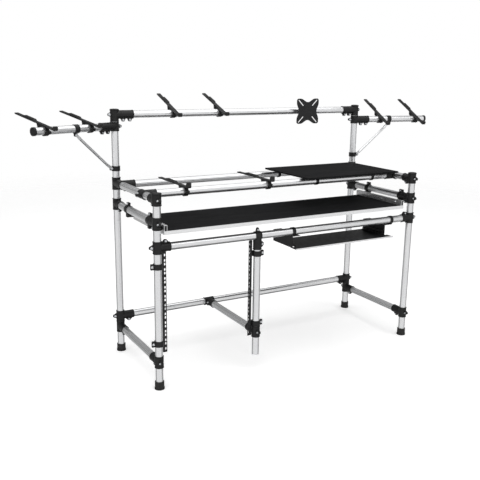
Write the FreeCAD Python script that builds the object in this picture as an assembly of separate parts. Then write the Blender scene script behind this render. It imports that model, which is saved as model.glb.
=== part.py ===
import FreeCAD, Part
import math
import os

# A studio rack stand: an aluminium tube frame held by clamp fittings, with a desk, a shelf,
# a rack bay, a pull-out tray, two wings and tilting support arms. Lengths are millimetres.
# While it is modelled, the axis of the front left post stands at X 0, Y 0 on the floor,
# X runs to the right, Y to the back and Z up. The last step moves the origin.

V = FreeCAD.Vector
RIGHT = V(1, 0, 0)
LEFT = V(-1, 0, 0)
BACK = V(0, 1, 0)
FRONT = V(0, -1, 0)
UP = V(0, 0, 1)
DOWN = V(0, 0, -1)

# Tubes
tube_diameter = 38.1
tube_wall = 2.0
brace_diameter = 14.0
brace_wall = 1.5

# Fits and cuts
fit_clearance = 0.08
seat_gap = 0.3
fitting_gap = 1.4
overrun = 6.0

# Clamp fittings
sleeve_wall = 3.0
socket_wall = 2.8
sleeve_height = 60.0
socket_reach = 74.0
short_socket_reach = 63.0
long_socket_reach = 100.0
side_socket_reach = 95.0
clamp_width = 34.0
clamp_socket_reach = 70.0
tier_elbow_below = 27.0
tier_elbow_above = 31.0
top_elbow_below = 35.0
top_elbow_above = 26.0
corner_below = 34.0
wing_sleeve_height = 47.0
cap_thickness = 5.0
cap_flare = 1.6
ear_thickness = 12.0
ear_flat_width = 10.0
lobe_reach = 19.0
elbow_lobe_reach = 13.0
ear_reach = 14.0
split_gap = 1.0
lobe_base_share = 0.84
ear_centre_share = 0.64
ear_base_share = 0.60
ear_pair_reach = 46.0
ear_pair_spacing = 36.0
ear_pair_width = 28.0

# Frame: distances between post axes, and the heights of the tube axes
rack_column_span = 465.1
rack_column_margin = 38.45
frame_width = 1554.4
frame_depth = 544.6
middle_post_bottom = 76.0
base_side_height = 141.7
lower_rail_height = 713.1
desk_side_rise = 114.0
tier_rise = 110.9
wing_rise = 293.4
tier_rail_setback = 160.0
back_rail_drop = 11.3

# Feet and end caps
foot_height = 40.0
foot_floor = 5.0
foot_wall = 4.0
foot_sole_height = 9.0
foot_sole_flare = 1.8
end_cap_length = 12.0
end_cap_floor = 3.0
end_cap_wall = 1.6

# Rack bay
rack_unit = 44.45
rack_slot_width = 7.0
rack_slot_length = 13.0
rack_slot_margin = 9.1
strip_lowest_height = 170.0
strip_top_gap = 1.0
strip_end_margin = 9.5
strip_thickness = 2.0
strip_outer_margin = 12.4
strip_inner_margin = 7.5
strip_setback = 5.6
strip_flange_depth = 21.0
rack_collar_height = 28.0
rack_collar_low_rise = 54.0
rack_collar_gap = 7.6
rack_lug_depth = 10.0
collar_ear_reach = 14.0
collar_ear_thickness = 11.0

# Desk
desk_drop = 32.1
desk_thickness = 16.0
desk_front = -30.0
desk_back_margin = 188.6
desk_left_inset = 22.5
desk_right_inset = 80.0
desk_profile_width = 16.0
desk_profile_rise = 27.0
desk_profile_wall = 2.0
desk_profile_overhang = 10.0
desk_ledge = 15.0
desk_lip_thickness = 2.0
desk_board_gap = 0.5
hanger_width = 28.0
hanger_lug_height = 19.0
hanger_lug_width = 22.0
hanger_lug_outset = 12.0
hanger_back_margin = 174.6

# Shelf
shelf_arm_gap = 205.0
shelf_side_gap = 2.0
shelf_front_overhang = 75.0
shelf_back_gap = 16.6
shelf_thickness = 8.0
shelf_corner = 6.0
clip_width = 16.0
clip_tongue_reach = 32.0
clip_tongue_thickness = 8.0
clip_left_inset = 104.0
clip_right_inset = 143.0

# Tray
tray_left_margin = 207.0
tray_right_margin = 186.4
tray_sheet = 2.0
tray_flange = 48.0
tray_drop = 2.0
tray_plate_height = 63.0
tray_plate_front = -10.0
tray_plate_back = 178.0
tray_collar_width = 18.0
tray_collar_foot = 24.0
tray_left_collar_inset = 5.0
tray_right_collar_outset = 41.0
runner_height = 20.0
runner_depth = 12.0
runner_wall = 1.5
runner_lift = 11.0
runner_clearance = 0.5
pan_front = -62.0
pan_back = 165.0
pan_nose_depth = 46.0
pan_nose_overhang = 14.0
pan_lift = 5.0
nose_height = 8.0
nose_thickness = 4.0

# Wings: angle forward of the frame's line, arm length and where each brace ends
wing_left_angle = 19.87
wing_right_angle = 9.63
wing_left_length = 483.8
wing_right_length = 507.8
wing_socket_reach = 96.0
brace_drop = 216.4
brace_arm_reach = 242.0
brace_collar_width = 26.0
brace_lug_thickness = 8.0
brace_lug_reach = 16.0
brace_lug_width = 18.0
brace_lug_round = 8.1
brace_tongue_thickness = 4.0
brace_tongue_length = 20.0
brace_tongue_round = 6.9

# Support arms
arm_ring_wall = 5.0
arm_width = 20.0
arm_thickness = 6.0
arm_sink = 2.0
arm_bend = 5.0
arm_ear_reach = 11.0
arm_ear_thickness = 7.0
arm_split_gap = 1.2
arm_pad_height = 6.0
arm_pad_start_share = 0.34
arm_pad_end_share = 0.72
arm_web_reach = 58.0
arm_web_rise = 4.0
arm_tip_chamfer = 2.5
short_lip_height = 12.0
tier_lip_height = 20.0

# Support arms: places along their tubes, lengths before and behind the tube, tilts in degrees
top_arm_left_margin = 324.0
top_arm_right_margin = 604.0
top_arm_front_length = 100.0
top_arm_back_length = 210.0
top_arm_tilt = 20.0
tier_arm_left_margin = 217.0
tier_arm_right_margin = 695.0
tier_arm_front_length = 52.0
tier_arm_back_length = 314.0
wing_left_inner_reach = 158.0
wing_left_outer_reach = 416.0
wing_left_front_length = 86.0
wing_left_back_length = 245.0
wing_left_arm_tilt = 11.0
wing_right_inner_reach = 176.0
wing_right_outer_reach = 430.0
wing_right_front_length = 117.0
wing_right_back_length = 216.0
wing_right_arm_tilt = 24.7

# Monitor head
monitor_margin = 386.4
plate_width = 153.0
plate_height = 145.0
plate_thickness = 3.0
plate_corner = 34.0
plate_waist_share = 0.27
plate_reach = 49.0
plate_slot_inner = 33.0
plate_slot_outer = 62.0
plate_slot_width = 6.0
monitor_ring_width = 36.0
monitor_neck_radius = 17.0

# Sizes that follow
tube_radius = tube_diameter / 2
bore_radius = tube_radius + fit_clearance
sleeve_radius = bore_radius + sleeve_wall
socket_radius = bore_radius + socket_wall
half_sleeve = sleeve_height / 2
half_wing_sleeve = wing_sleeve_height / 2
base_rail_height = base_side_height + sleeve_height + fitting_gap
desk_side_height = lower_rail_height + desk_side_rise
tier_height = desk_side_height + tier_rise
wing_height = tier_height + wing_rise
top_rail_height = wing_height + half_wing_sleeve + fitting_gap + top_elbow_below
middle_post_x = rack_column_span + 2 * rack_column_margin
strip_top = lower_rail_height - sleeve_radius - strip_top_gap
strip_room = strip_top - strip_lowest_height - 2 * strip_end_margin
rack_units = int(strip_room / rack_unit)
strip_length = rack_units * rack_unit + 2 * strip_end_margin
strip_bottom = strip_top - strip_length
rack_collar_low = strip_bottom + rack_collar_low_rise
rack_collar_clear = rack_collar_gap + rack_collar_height / 2
rack_collar_high = lower_rail_height - clamp_socket_reach - rack_collar_clear
desk_top = desk_side_height - desk_drop
desk_back = frame_depth - desk_back_margin
hanger_front = short_socket_reach + hanger_width / 2 + fitting_gap
hanger_back = frame_depth - hanger_back_margin
shelf_left = tier_arm_right_margin + shelf_arm_gap
shelf_right = frame_width - sleeve_radius - shelf_side_gap
tray_left = middle_post_x + tray_left_margin
tray_width = frame_width - tray_right_margin - tray_left
monitor_x = frame_width - monitor_margin


def rod(start, end, radius):
    """Solid cylinder between two points."""
    run = end - start
    return Part.makeCylinder(radius, run.Length, start, run)


def pipe(start, end, radius, wall):
    """Round tube between two points."""
    return rod(start, end, radius).cut(rod(start, end, radius - wall))


def box(low, high):
    """Block between its lowest and highest corners."""
    size = high - low
    return Part.makeBox(size.x, size.y, size.z, low)


def ring(outer, inner, width):
    """Ring round Z, centred on the origin."""
    start = V(0, 0, -width / 2)
    return pipe(start, start + UP * width, outer, outer - inner)


def corner_arc(before, corner, after, radius):
    """End points and middle of the arc that rounds one corner of an outline."""
    first = (before - corner).normalize()
    second = (after - corner).normalize()
    half = first.getAngle(second) / 2
    middle_line = (first + second).normalize()
    centre = corner + middle_line * (radius / math.sin(half))
    cut = radius / math.tan(half)
    return corner + first * cut, centre - middle_line * radius, corner + second * cut


def outline(corners):
    """Closed wire through (point, radius) corners, each rounded by its radius."""
    count = len(corners)
    edges = []
    ends = []
    for index, (corner, radius) in enumerate(corners):
        if radius > 0:
            before = corners[index - 1][0]
            after = corners[(index + 1) % count][0]
            start, middle, end = corner_arc(before, corner, after, radius)
            ends.append((start, end, Part.Arc(start, middle, end).toShape()))
        else:
            ends.append((corner, corner, None))
    for index, (start, end, arc) in enumerate(ends):
        if arc is not None:
            edges.append(arc)
        edges.append(Part.makeLine(end, ends[(index + 1) % count][0]))
    return Part.Wire(edges)


def slab(corners, depth):
    """Solid made by pushing an outline along the depth vector."""
    return Part.Face(outline(corners)).extrude(depth)


def upright_slab(corners, thickness):
    """Slab of an outline given as (x, z, radius), centred on the plane Y 0."""
    points = [(V(x, -thickness / 2, z), radius) for x, z, radius in corners]
    return slab(points, BACK * thickness)


def placed(shape, origin, along_x, along_z):
    """Copy of a local shape, moved so that its X and Z axes point as given."""
    turn = FreeCAD.Rotation(along_x, along_z.cross(along_x), along_z, "ZXY")
    moved = shape.copy()
    moved.Placement = FreeCAD.Placement(origin, turn).multiply(shape.Placement)
    return moved


def group(solids):
    """Several separate solids of one node."""
    return Part.makeCompound(solids)


# Clamp fittings. The local sleeve runs along Z and the socket along X.


def lobe(half_height, reach):
    """Pointed ear opposite the socket of a sleeve with this half height."""
    base = half_height * lobe_base_share
    tip = -(sleeve_radius + reach)
    flat = min(ear_flat_width / 2, base / 2)
    corners = [(0, -base, 0), (tip, -flat, 0), (tip, flat, 0), (0, base, 0)]
    return upright_slab(corners, ear_thickness)


def socket_ear(centre, base_width, sign):
    """Ear on one side of a socket, with a blunt tip over its middle."""
    half_base = base_width / 2
    half_tip = ear_flat_width / 2
    root = sign * bore_radius
    tip = sign * (socket_radius + ear_reach)
    corners = [
        (centre - half_base, 0, 0),
        (centre - half_base, root, 0),
        (centre - half_tip, tip, 0),
        (centre + half_tip, tip, 0),
        (centre + half_base, root, 0),
        (centre + half_base, 0, 0),
    ]
    return upright_slab(corners, ear_thickness)


def socket_ears(reach, sign):
    """Ears on one side of a socket: one on a short socket, two on a long one."""
    places = [(reach * ear_centre_share, reach * ear_base_share)]
    second = ear_pair_reach + ear_pair_spacing
    if reach > second:
        places = [(ear_pair_reach, ear_pair_width), (second, ear_pair_width)]
    return [socket_ear(centre, width, sign) for centre, width in places]


def socket_body(reach):
    """Outside of a socket along X."""
    return rod(V(0, 0, 0), RIGHT * reach, socket_radius)


def socket_bore(reach):
    """Blind bore of a socket, which stops at the sleeve."""
    return rod(RIGHT * sleeve_radius, RIGHT * (reach + overrun), bore_radius)


def fitting(reach, below=half_sleeve, above=half_sleeve, capped=False, ears_up=False,
            drop=0, side=None, lobe_length=lobe_reach):
    """Clamp fitting with a sleeve, a socket and bolting ears.

    A capped fitting is an elbow. drop lowers the socket on the sleeve, and side is the reach
    of a second socket along -Y, which has the sleeve's ear opposite it.
    """
    body = rod(DOWN * below, UP * above, sleeve_radius)
    bore_top = above + overrun
    if capped:
        bore_top = above - cap_thickness
        cap = rod(UP * bore_top, UP * above, sleeve_radius + cap_flare)
        body = body.fuse(cap)
    arm = [socket_body(reach)] + socket_ears(reach, 1 if ears_up else -1)
    arm = [shape.translated(DOWN * drop) for shape in arm]
    origin = V(0, 0, 0)
    lobe_facing = RIGHT if side is None else FRONT
    ear = placed(lobe(min(below, above), lobe_length), origin, lobe_facing, UP)
    body = body.fuse(arm + [ear])
    bores = [
        rod(DOWN * (below + overrun), UP * bore_top, bore_radius),
        socket_bore(reach).translated(DOWN * drop),
    ]
    if side is not None:
        body = body.fuse(placed(socket_body(side), origin, FRONT, UP))
        bores.append(placed(socket_bore(side), origin, FRONT, UP))
    return body.cut(bores).removeSplitter()


def halves(shape, gap, normal):
    """Two half shells, parted by a thin slab across the origin."""
    reach = 2 * (long_socket_reach + sleeve_height)
    cutter = Part.makeBox(reach, gap, reach, V(-reach / 2, -gap / 2, -reach / 2))
    return shape.cut(placed(cutter, V(0, 0, 0), normal.cross(UP), UP)).Solids


def collar(width, ear_length):
    """Ring clamp round Z with one ear block along -X."""
    body = rod(DOWN * (width / 2), UP * (width / 2), sleeve_radius)
    low = V(-(sleeve_radius + ear_length), -collar_ear_thickness / 2, -width / 2)
    return body.fuse(box(low, V(0, collar_ear_thickness / 2, width / 2)))


def bored(shape, width):
    """Cuts the tube's bore along Z through a clamp."""
    reach = width / 2 + overrun
    return shape.cut(rod(DOWN * reach, UP * reach, bore_radius)).removeSplitter()


# Posts and tubes


def tube(start, end):
    """Frame tube between two points."""
    return pipe(start, end, tube_radius, tube_wall)


def tube_between(start, end):
    """Frame tube between two fittings, from socket floor to socket floor."""
    inset = (end - start).normalize() * sleeve_radius
    return tube(start + inset, end - inset)


def post(x, y, top):
    """Post from the foot's floor to a height."""
    return tube(V(x, y, foot_floor), V(x, y, top))


def foot(x, y):
    """Rubber foot cup with a flared sole."""
    base = V(x, y, 0)
    radius = bore_radius + foot_wall
    body = rod(base, base + UP * foot_height, radius)
    body = body.fuse(rod(base, base + UP * foot_sole_height, radius + foot_sole_flare))
    bore = rod(base + UP * foot_floor, base + UP * (foot_height + overrun), bore_radius)
    return body.cut(bore).removeSplitter()


def posts():
    """The four standing posts and the hanging middle one."""
    front_top = tier_height + tier_elbow_above - cap_thickness
    back_top = top_rail_height + top_elbow_above - cap_thickness
    middle_top = V(middle_post_x, 0, lower_rail_height - sleeve_radius)
    return {
        "post_front_left": post(0, 0, front_top),
        "post_front_right": post(frame_width, 0, front_top),
        "post_back_left": post(0, frame_depth, back_top),
        "post_back_right": post(frame_width, frame_depth, back_top),
        "post_middle": tube(V(middle_post_x, 0, middle_post_bottom), middle_top),
    }


def cross_rail(y, height):
    """Tube from the left frame side to the right one."""
    return tube_between(V(0, y, height), V(frame_width, y, height))


def side_tube(x, height):
    """Tube from a front post to the back post behind it."""
    return tube_between(V(x, 0, height), V(x, frame_depth, height))


def tubes():
    """All straight tubes between the posts."""
    middle_back = V(middle_post_x, frame_depth, base_rail_height)
    return {
        "rail_top": cross_rail(frame_depth, top_rail_height),
        "rail_tier_back": cross_rail(frame_depth, tier_height - back_rail_drop),
        "rail_tier_front": cross_rail(tier_rail_setback, tier_height),
        "rail_front_lower": cross_rail(0, lower_rail_height),
        "rail_base_back": cross_rail(frame_depth, base_rail_height),
        "base_middle_tube": tube_between(V(middle_post_x, 0, base_rail_height), middle_back),
        "base_side_left": side_tube(0, base_side_height),
        "base_side_right": side_tube(frame_width, base_side_height),
        "desk_side_left": side_tube(0, desk_side_height),
        "desk_side_right": side_tube(frame_width, desk_side_height),
        "tier_side_left": side_tube(0, tier_height),
        "tier_side_right": side_tube(frame_width, tier_height),
    }


def fittings():
    """Clamp fittings of the fixed frame, grouped by level."""
    tee = fitting(socket_reach)
    short_tee = fitting(short_socket_reach)
    lower_tee = fitting(short_socket_reach, ears_up=True)
    tier_elbow = fitting(short_socket_reach, tier_elbow_below, tier_elbow_above, capped=True)
    top_elbow = fitting(
        long_socket_reach, top_elbow_below, top_elbow_above, capped=True, lobe_length=elbow_lobe_reach
    )
    corner = fitting(long_socket_reach, corner_below, drop=back_rail_drop, side=side_socket_reach)
    mirrored_corner = corner.mirror(V(0, 0, 0), BACK)
    clamp = fitting(clamp_socket_reach, clamp_width / 2, clamp_width / 2, ears_up=True)
    sides = [(0, RIGHT), (frame_width, LEFT)]
    ends = [(0, BACK), (frame_depth, FRONT)]

    def side_tees(shape, height):
        places = [(x, y, facing) for x, _ in sides for y, facing in ends]
        return [placed(shape, V(x, y, height), facing, UP) for x, y, facing in places]

    def pair(shape, y, height, axis=UP):
        return [placed(shape, V(x, y, height), facing, axis) for x, facing in sides]

    rail_tees = pair(tee, frame_depth, base_rail_height)
    middle_back = V(middle_post_x, frame_depth, base_rail_height)
    rail_tees.append(placed(tee, middle_back, FRONT, RIGHT))
    rail_tees.append(placed(tee, V(middle_post_x, 0, base_rail_height), BACK, UP))
    lower_tees = pair(lower_tee, 0, lower_rail_height)
    lower_tees.append(placed(clamp, V(middle_post_x, 0, lower_rail_height), DOWN, RIGHT))
    tier_corners = [
        placed(corner, V(0, frame_depth, tier_height), RIGHT, UP),
        placed(mirrored_corner, V(frame_width, frame_depth, tier_height), LEFT, UP),
    ]
    tier_elbows = [placed(tier_elbow, V(x, 0, tier_height), BACK, UP) for x, _ in sides]
    return {
        "base_side_tees": group(side_tees(tee, base_side_height)),
        "base_rail_tees": group(rail_tees),
        "lower_rail_tees": group(lower_tees),
        "desk_side_tees": group(side_tees(short_tee, desk_side_height)),
        "tier_corner_tees": group(tier_corners),
        "tier_elbows": group(tier_elbows),
        "tier_rail_tees": group(pair(short_tee, tier_rail_setback, tier_height, FRONT)),
        "top_elbows": group(pair(top_elbow, frame_depth, top_rail_height)),
    }


def feet():
    """Rubber feet of the four standing posts."""
    places = [(x, y) for x in (0, frame_width) for y in (0, frame_depth)]
    return {"rubber_feet": group([foot(x, y) for x, y in places])}


# Rack bay. The strips face forward, and each hangs on two post collars.


def rack_strip():
    """Left slotted angle strip: a face with slot pairs and a flange behind its outer edge."""
    inner = rack_column_margin + strip_inner_margin
    outer = rack_column_margin - strip_outer_margin
    low = V(outer, strip_setback, strip_bottom)
    high = V(inner, strip_setback + strip_thickness, strip_bottom + strip_length)
    face = box(low, high)
    flange_high = V(outer + strip_thickness, strip_setback + strip_flange_depth, strip_bottom + strip_length)
    slots = [rack_slot(height) for height in rack_slot_heights()]
    return face.fuse(box(low, flange_high)).cut(slots).removeSplitter()


def rack_slot_heights():
    """Centres of the slots: a pair in each rack unit, near the unit's top and bottom."""
    first = strip_bottom + strip_end_margin
    heights = []
    for unit in range(rack_units):
        heights.append(first + unit * rack_unit + rack_slot_margin)
        heights.append(first + (unit + 1) * rack_unit - rack_slot_margin)
    return heights


def rack_slot(height):
    """Upright slot with round ends, through the strip's face."""
    radius = rack_slot_width / 2
    straight = rack_slot_length / 2 - radius
    start = strip_setback - overrun / 2
    depth = BACK * (strip_thickness + overrun)
    low = V(rack_column_margin, start, height - straight)
    high = V(rack_column_margin, start, height + straight)
    side = RIGHT * radius
    edges = [
        Part.makeLine(low + side, high + side),
        Part.Arc(high + side, high + UP * radius, high - side).toShape(),
        Part.makeLine(high - side, low - side),
        Part.Arc(low - side, low + DOWN * radius, low + side).toShape(),
    ]
    return Part.Face(Part.Wire(edges)).extrude(depth)


def rack_collar():
    """Post collar with a lug that reaches the left strip's flange."""
    front = strip_setback + strip_thickness
    end = rack_column_margin - strip_outer_margin
    low = V(0, front, -rack_collar_height / 2)
    high = V(end, front + rack_lug_depth, rack_collar_height / 2)
    return bored(collar(rack_collar_height, collar_ear_reach).fuse(box(low, high)), rack_collar_height)


def rack_bay():
    """Strips and collars of the rack bay; the right strip mirrors the left one."""
    strip = rack_strip()
    middle = V(middle_post_x / 2, 0, 0)
    left_collar = rack_collar()
    right_collar = left_collar.mirror(middle, RIGHT)
    low_on_middle = base_rail_height + half_sleeve + fitting_gap + rack_collar_height / 2
    collars = [
        left_collar.translated(UP * rack_collar_low),
        left_collar.translated(UP * rack_collar_high),
        right_collar.translated(UP * low_on_middle),
        right_collar.translated(UP * rack_collar_high),
    ]
    return {
        "rack_strip_left": strip,
        "rack_strip_right": strip.mirror(middle, RIGHT),
        "rack_collars": group(collars),
    }


# Desk


def mirrored_across(shape):
    """Copy of a left-hand shape on the frame's right side."""
    return shape.mirror(V(frame_width / 2, 0, 0), RIGHT)


def desk_side_profile(left):
    """Left hollow aluminium profile with a ledge under the board, left of which is its place."""
    low = desk_top - desk_thickness - desk_profile_wall
    high = desk_top + desk_profile_rise
    right = left + desk_profile_width
    ledge = right + desk_ledge
    back = desk_back + desk_profile_overhang
    length = BACK * (back - desk_front)
    corners = [(left, low), (ledge, low), (ledge, low + desk_profile_wall)]
    corners += [(right, low + desk_profile_wall), (right, high), (left, high)]
    body = slab([(V(x, desk_front, z), 0) for x, z in corners], length)
    wall = desk_profile_wall
    hollow = box(
        V(left + wall, desk_front - overrun, low + wall),
        V(right - wall, back + overrun, high - wall),
    )
    return body.cut(hollow)


def desk_lip():
    """Front edge profile: an upright web with a flange under the board."""
    bottom = desk_top - desk_thickness - desk_profile_wall
    end = desk_profile_width + desk_ledge + desk_board_gap
    right = frame_width - desk_right_inset
    front = desk_front - desk_lip_thickness
    web = box(V(desk_left_inset, front, bottom), V(right, desk_front, desk_top))
    low = V(desk_left_inset + end, front, bottom)
    high = V(right - end, desk_front + desk_ledge, bottom + desk_profile_wall)
    return web.fuse(box(low, high)).removeSplitter()


def desk_hanger(y, inset):
    """Ring clamp on the left desk side tube, with a lug that reaches the profile."""
    body = rod(DOWN * (hanger_width / 2), UP * (hanger_width / 2), sleeve_radius)
    lug_top = -bore_radius
    low = V(-hanger_lug_outset, lug_top - hanger_lug_height, -hanger_lug_width / 2)
    high = V(inset, lug_top, hanger_lug_width / 2)
    ear_low = V(-collar_ear_thickness / 2, 0, -hanger_width / 2)
    ear_high = V(collar_ear_thickness / 2, sleeve_radius + collar_ear_reach, hanger_width / 2)
    body = body.fuse([box(low, high), box(ear_low, ear_high)])
    return placed(bored(body, hanger_width), V(0, y, desk_side_height), RIGHT, FRONT)


def desk():
    """Desk board, its edge profiles and its hangers."""
    edge = desk_profile_width + desk_board_gap
    low = V(desk_left_inset + edge, desk_front, desk_top - desk_thickness)
    board = box(low, V(frame_width - desk_right_inset - edge, desk_back, desk_top))
    left = desk_side_profile(desk_left_inset)
    right = mirrored_across(desk_side_profile(desk_right_inset))
    places = (hanger_front, hanger_back)
    hangers = [desk_hanger(y, desk_left_inset) for y in places]
    hangers += [mirrored_across(desk_hanger(y, desk_right_inset)) for y in places]
    return {
        "desk_board": board,
        "desk_edge_profiles": group([left, right, desk_lip()]),
        "desk_hangers": group(hangers),
    }


# Shelf on the tier


def shelf_clip(x, y, drop, inward):
    """Clip round a rail this far under the tier, with a tongue up to the shelf board."""
    body = rod(DOWN * (clip_width / 2), UP * (clip_width / 2), sleeve_radius)
    low = V(0, sleeve_radius - clip_tongue_thickness, -clip_width / 2)
    high = V(clip_tongue_reach, sleeve_radius + drop, clip_width / 2)
    body = bored(body.fuse(box(low, high)), clip_width)
    return placed(body, V(x, y, tier_height - drop), inward, inward.cross(UP))


def shelf():
    """Shelf board and the clips that hold it on the tier rails."""
    bottom = tier_height + sleeve_radius + seat_gap
    front = tier_rail_setback - shelf_front_overhang
    back = frame_depth - shelf_back_gap
    corners = [
        (shelf_left, front),
        (shelf_right, front),
        (shelf_right, back),
        (shelf_left, back),
    ]
    points = [(V(x, y, bottom), shelf_corner) for x, y in corners]
    clips = []
    for x in (shelf_left + clip_left_inset, shelf_right - clip_right_inset):
        clips.append(shelf_clip(x, tier_rail_setback, 0, BACK))
        clips.append(shelf_clip(x, frame_depth, back_rail_drop, FRONT))
    return {"shelf_board": slab(points, UP * shelf_thickness), "shelf_clips": group(clips)}


# Tray under the front lower rail


def tray_top():
    """Height of the side plates' top flange."""
    return lower_rail_height - sleeve_radius - tray_drop


def tray_side_plate():
    """Left side plate with its top flange turned to the right."""
    top = tray_top()
    low = V(tray_left, tray_plate_front, top - tray_plate_height)
    plate = box(low, V(tray_left + tray_sheet, tray_plate_back, top))
    flange_low = V(tray_left, tray_plate_front, top - tray_sheet)
    return plate.fuse(box(flange_low, V(tray_left + tray_flange, tray_plate_back, top)))


def tray_collar(x):
    """Ring clamp round the lower rail, with a foot on the side plate's flange."""
    body = rod(DOWN * (tray_collar_width / 2), UP * (tray_collar_width / 2), sleeve_radius)
    foot_high = V(sleeve_radius + tray_drop, tray_collar_foot / 2, tray_collar_width / 2)
    body = body.fuse(box(V(0, -tray_collar_foot / 2, -tray_collar_width / 2), foot_high))
    return placed(bored(body, tray_collar_width), V(x, 0, lower_rail_height), DOWN, RIGHT)


def runner_low():
    """Height of the lower edge of the runners."""
    return tray_top() - tray_plate_height + runner_lift


def tray_runner():
    """Left channel runner, open to the inside."""
    start = tray_left + tray_sheet
    low = V(start, 0, runner_low())
    high = V(start + runner_depth, pan_back, runner_low() + runner_height)
    hollow_low = low + V(runner_wall, -overrun, runner_wall)
    hollow_high = high + V(overrun, overrun, -runner_wall)
    return box(low, high).cut(box(hollow_low, hollow_high))


def tray_pan():
    """Sheet pan with a wide nose in front, and side flanges that run in the runners."""
    floor = tray_top() - tray_plate_height + pan_lift
    gap = tray_sheet + runner_depth + runner_clearance
    left = tray_left + gap
    right = tray_left + tray_width - gap
    nose_back = pan_front + pan_nose_depth
    low = V(left, pan_front, floor)
    sheet = box(low, V(right, pan_back, floor + tray_sheet))
    nose_low = V(tray_left - pan_nose_overhang, pan_front, floor)
    nose_right = tray_left + tray_width + pan_nose_overhang
    pieces = [box(nose_low, V(nose_right, nose_back, floor + tray_sheet))]
    rail_low = runner_low() + runner_wall + seat_gap
    rail_top = rail_low + tray_sheet
    reach = runner_depth - runner_wall
    for edge, inner, outer in ((left, tray_sheet, -reach), (right, -tray_sheet, reach)):
        xs = sorted((edge, edge + inner))
        pieces.append(box(V(xs[0], nose_back, floor), V(xs[1], pan_back, rail_top)))
        xs = sorted((edge + inner, edge + outer))
        pieces.append(box(V(xs[0], 0, rail_low), V(xs[1], pan_back, rail_top)))
    return sheet.fuse(pieces).removeSplitter()


def tray_nose_trim():
    """Bright edge trim in front of the pan's nose."""
    floor = tray_top() - tray_plate_height + pan_lift
    low = floor + tray_sheet / 2 - nose_height / 2
    left = tray_left - pan_nose_overhang
    right = tray_left + tray_width + pan_nose_overhang
    return box(V(left, pan_front - nose_thickness, low), V(right, pan_front, low + nose_height))


def tray():
    """Tray plates, collars, runners, pan and trim."""
    plate = tray_side_plate()
    right_plate = plate.translated(RIGHT * (tray_width - tray_sheet))
    runner = tray_runner()
    right_runner = runner.mirror(V(tray_left + tray_width / 2, 0, 0), RIGHT)
    collars = [
        tray_collar(tray_left + tray_left_collar_inset),
        tray_collar(tray_left + tray_width + tray_right_collar_outset),
    ]
    return {
        "tray_side_plates": group([plate.removeSplitter(), right_plate.removeSplitter()]),
        "tray_collars": group(collars),
        "tray_runners": group([runner, right_runner]),
        "tray_pan": tray_pan(),
        "tray_nose_trim": tray_nose_trim(),
    }


# Wings


def wing_direction(side):
    """Horizontal direction of a wing's arm; side is -1 for left and 1 for right."""
    degrees = wing_left_angle if side < 0 else wing_right_angle
    angle = math.radians(degrees)
    return V(side * math.cos(angle), -math.sin(angle), 0)


def wing_foot(side):
    """Where a wing's arm axis meets its post axis."""
    return V(0 if side < 0 else frame_width, frame_depth, wing_height)


def end_cap(length):
    """Cup over the end of a wing's arm, local X along the arm."""
    start = RIGHT * (length - end_cap_length)
    bore_end = RIGHT * (length - end_cap_floor)
    body = rod(start, RIGHT * length, bore_radius + end_cap_wall)
    return body.cut(rod(start - RIGHT * overrun, bore_end, bore_radius))


def brace_collar(toward):
    """Ring clamp round Z with a flat lug along a direction in the XZ plane."""
    body = rod(DOWN * (brace_collar_width / 2), UP * (brace_collar_width / 2), sleeve_radius)
    reach = sleeve_radius + brace_lug_reach
    side = toward * reach
    low = -brace_tongue_thickness / 2 - brace_lug_thickness / 2
    half = brace_lug_width / 2
    corners = [
        (0, -half, 0),
        (side, -half, brace_lug_round),
        (side, half, brace_lug_round),
        (0, half, 0),
    ]
    points = [(V(x, low, z), radius) for x, z, radius in corners]
    body = body.fuse(slab(points, BACK * brace_lug_thickness))
    return bored(body, brace_collar_width)


def brace(low, high):
    """Thin brace tube with a flat tongue at each end, beside the collars' lugs."""
    run = high - low
    along = V(run).normalize()
    across = BACK
    start = low + along * brace_tongue_length
    end = high - along * brace_tongue_length
    radius = brace_diameter / 2
    body = pipe(start, end, radius, brace_wall)
    side = (brace_lug_thickness - brace_tongue_thickness) / 2
    tongues = []
    for tip, inward in ((low, along), (high, along * -1)):
        across_tongue = across.cross(inward)
        first = tip - inward * radius - across_tongue * radius + across * side
        wide = across_tongue * (2 * radius)
        long = inward * (radius + brace_tongue_length * 3 / 2)
        points = [
            (first, brace_tongue_round),
            (first + wide, brace_tongue_round),
            (first + wide + long, 0),
            (first + long, 0),
        ]
        tongues.append(slab(points, across * brace_tongue_thickness))
    return body.fuse(tongues).removeSplitter()


def wing(side):
    """One wing: split tee, arm, end cap, brace and brace collars."""
    name = "left" if side < 0 else "right"
    length = wing_left_length if side < 0 else wing_right_length
    direction = wing_direction(side)
    origin = wing_foot(side)
    tee = group(halves(fitting(wing_socket_reach, half_wing_sleeve, half_wing_sleeve), split_gap, BACK))
    arm = tube(RIGHT * sleeve_radius, RIGHT * (length - end_cap_floor))
    reach = sleeve_radius + brace_lug_reach / 2
    low = V(reach, 0, -brace_drop)
    high = V(brace_arm_reach, 0, -reach)
    post_collar = brace_collar(1).translated(DOWN * brace_drop)
    arm_collar = placed(brace_collar(1), RIGHT * brace_arm_reach, DOWN, RIGHT)
    nodes = {
        "wing_tee_" + name: tee,
        "wing_arm_" + name: arm,
        "wing_cap_" + name: end_cap(length),
        "brace_" + name: brace(low, high),
        "brace_collars_" + name: group([post_collar, arm_collar]),
    }
    return {key: placed(shape, origin, direction, UP) for key, shape in nodes.items()}


# Support arms. The local X axis points to the back along the arm, and the tube runs along Y.


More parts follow.
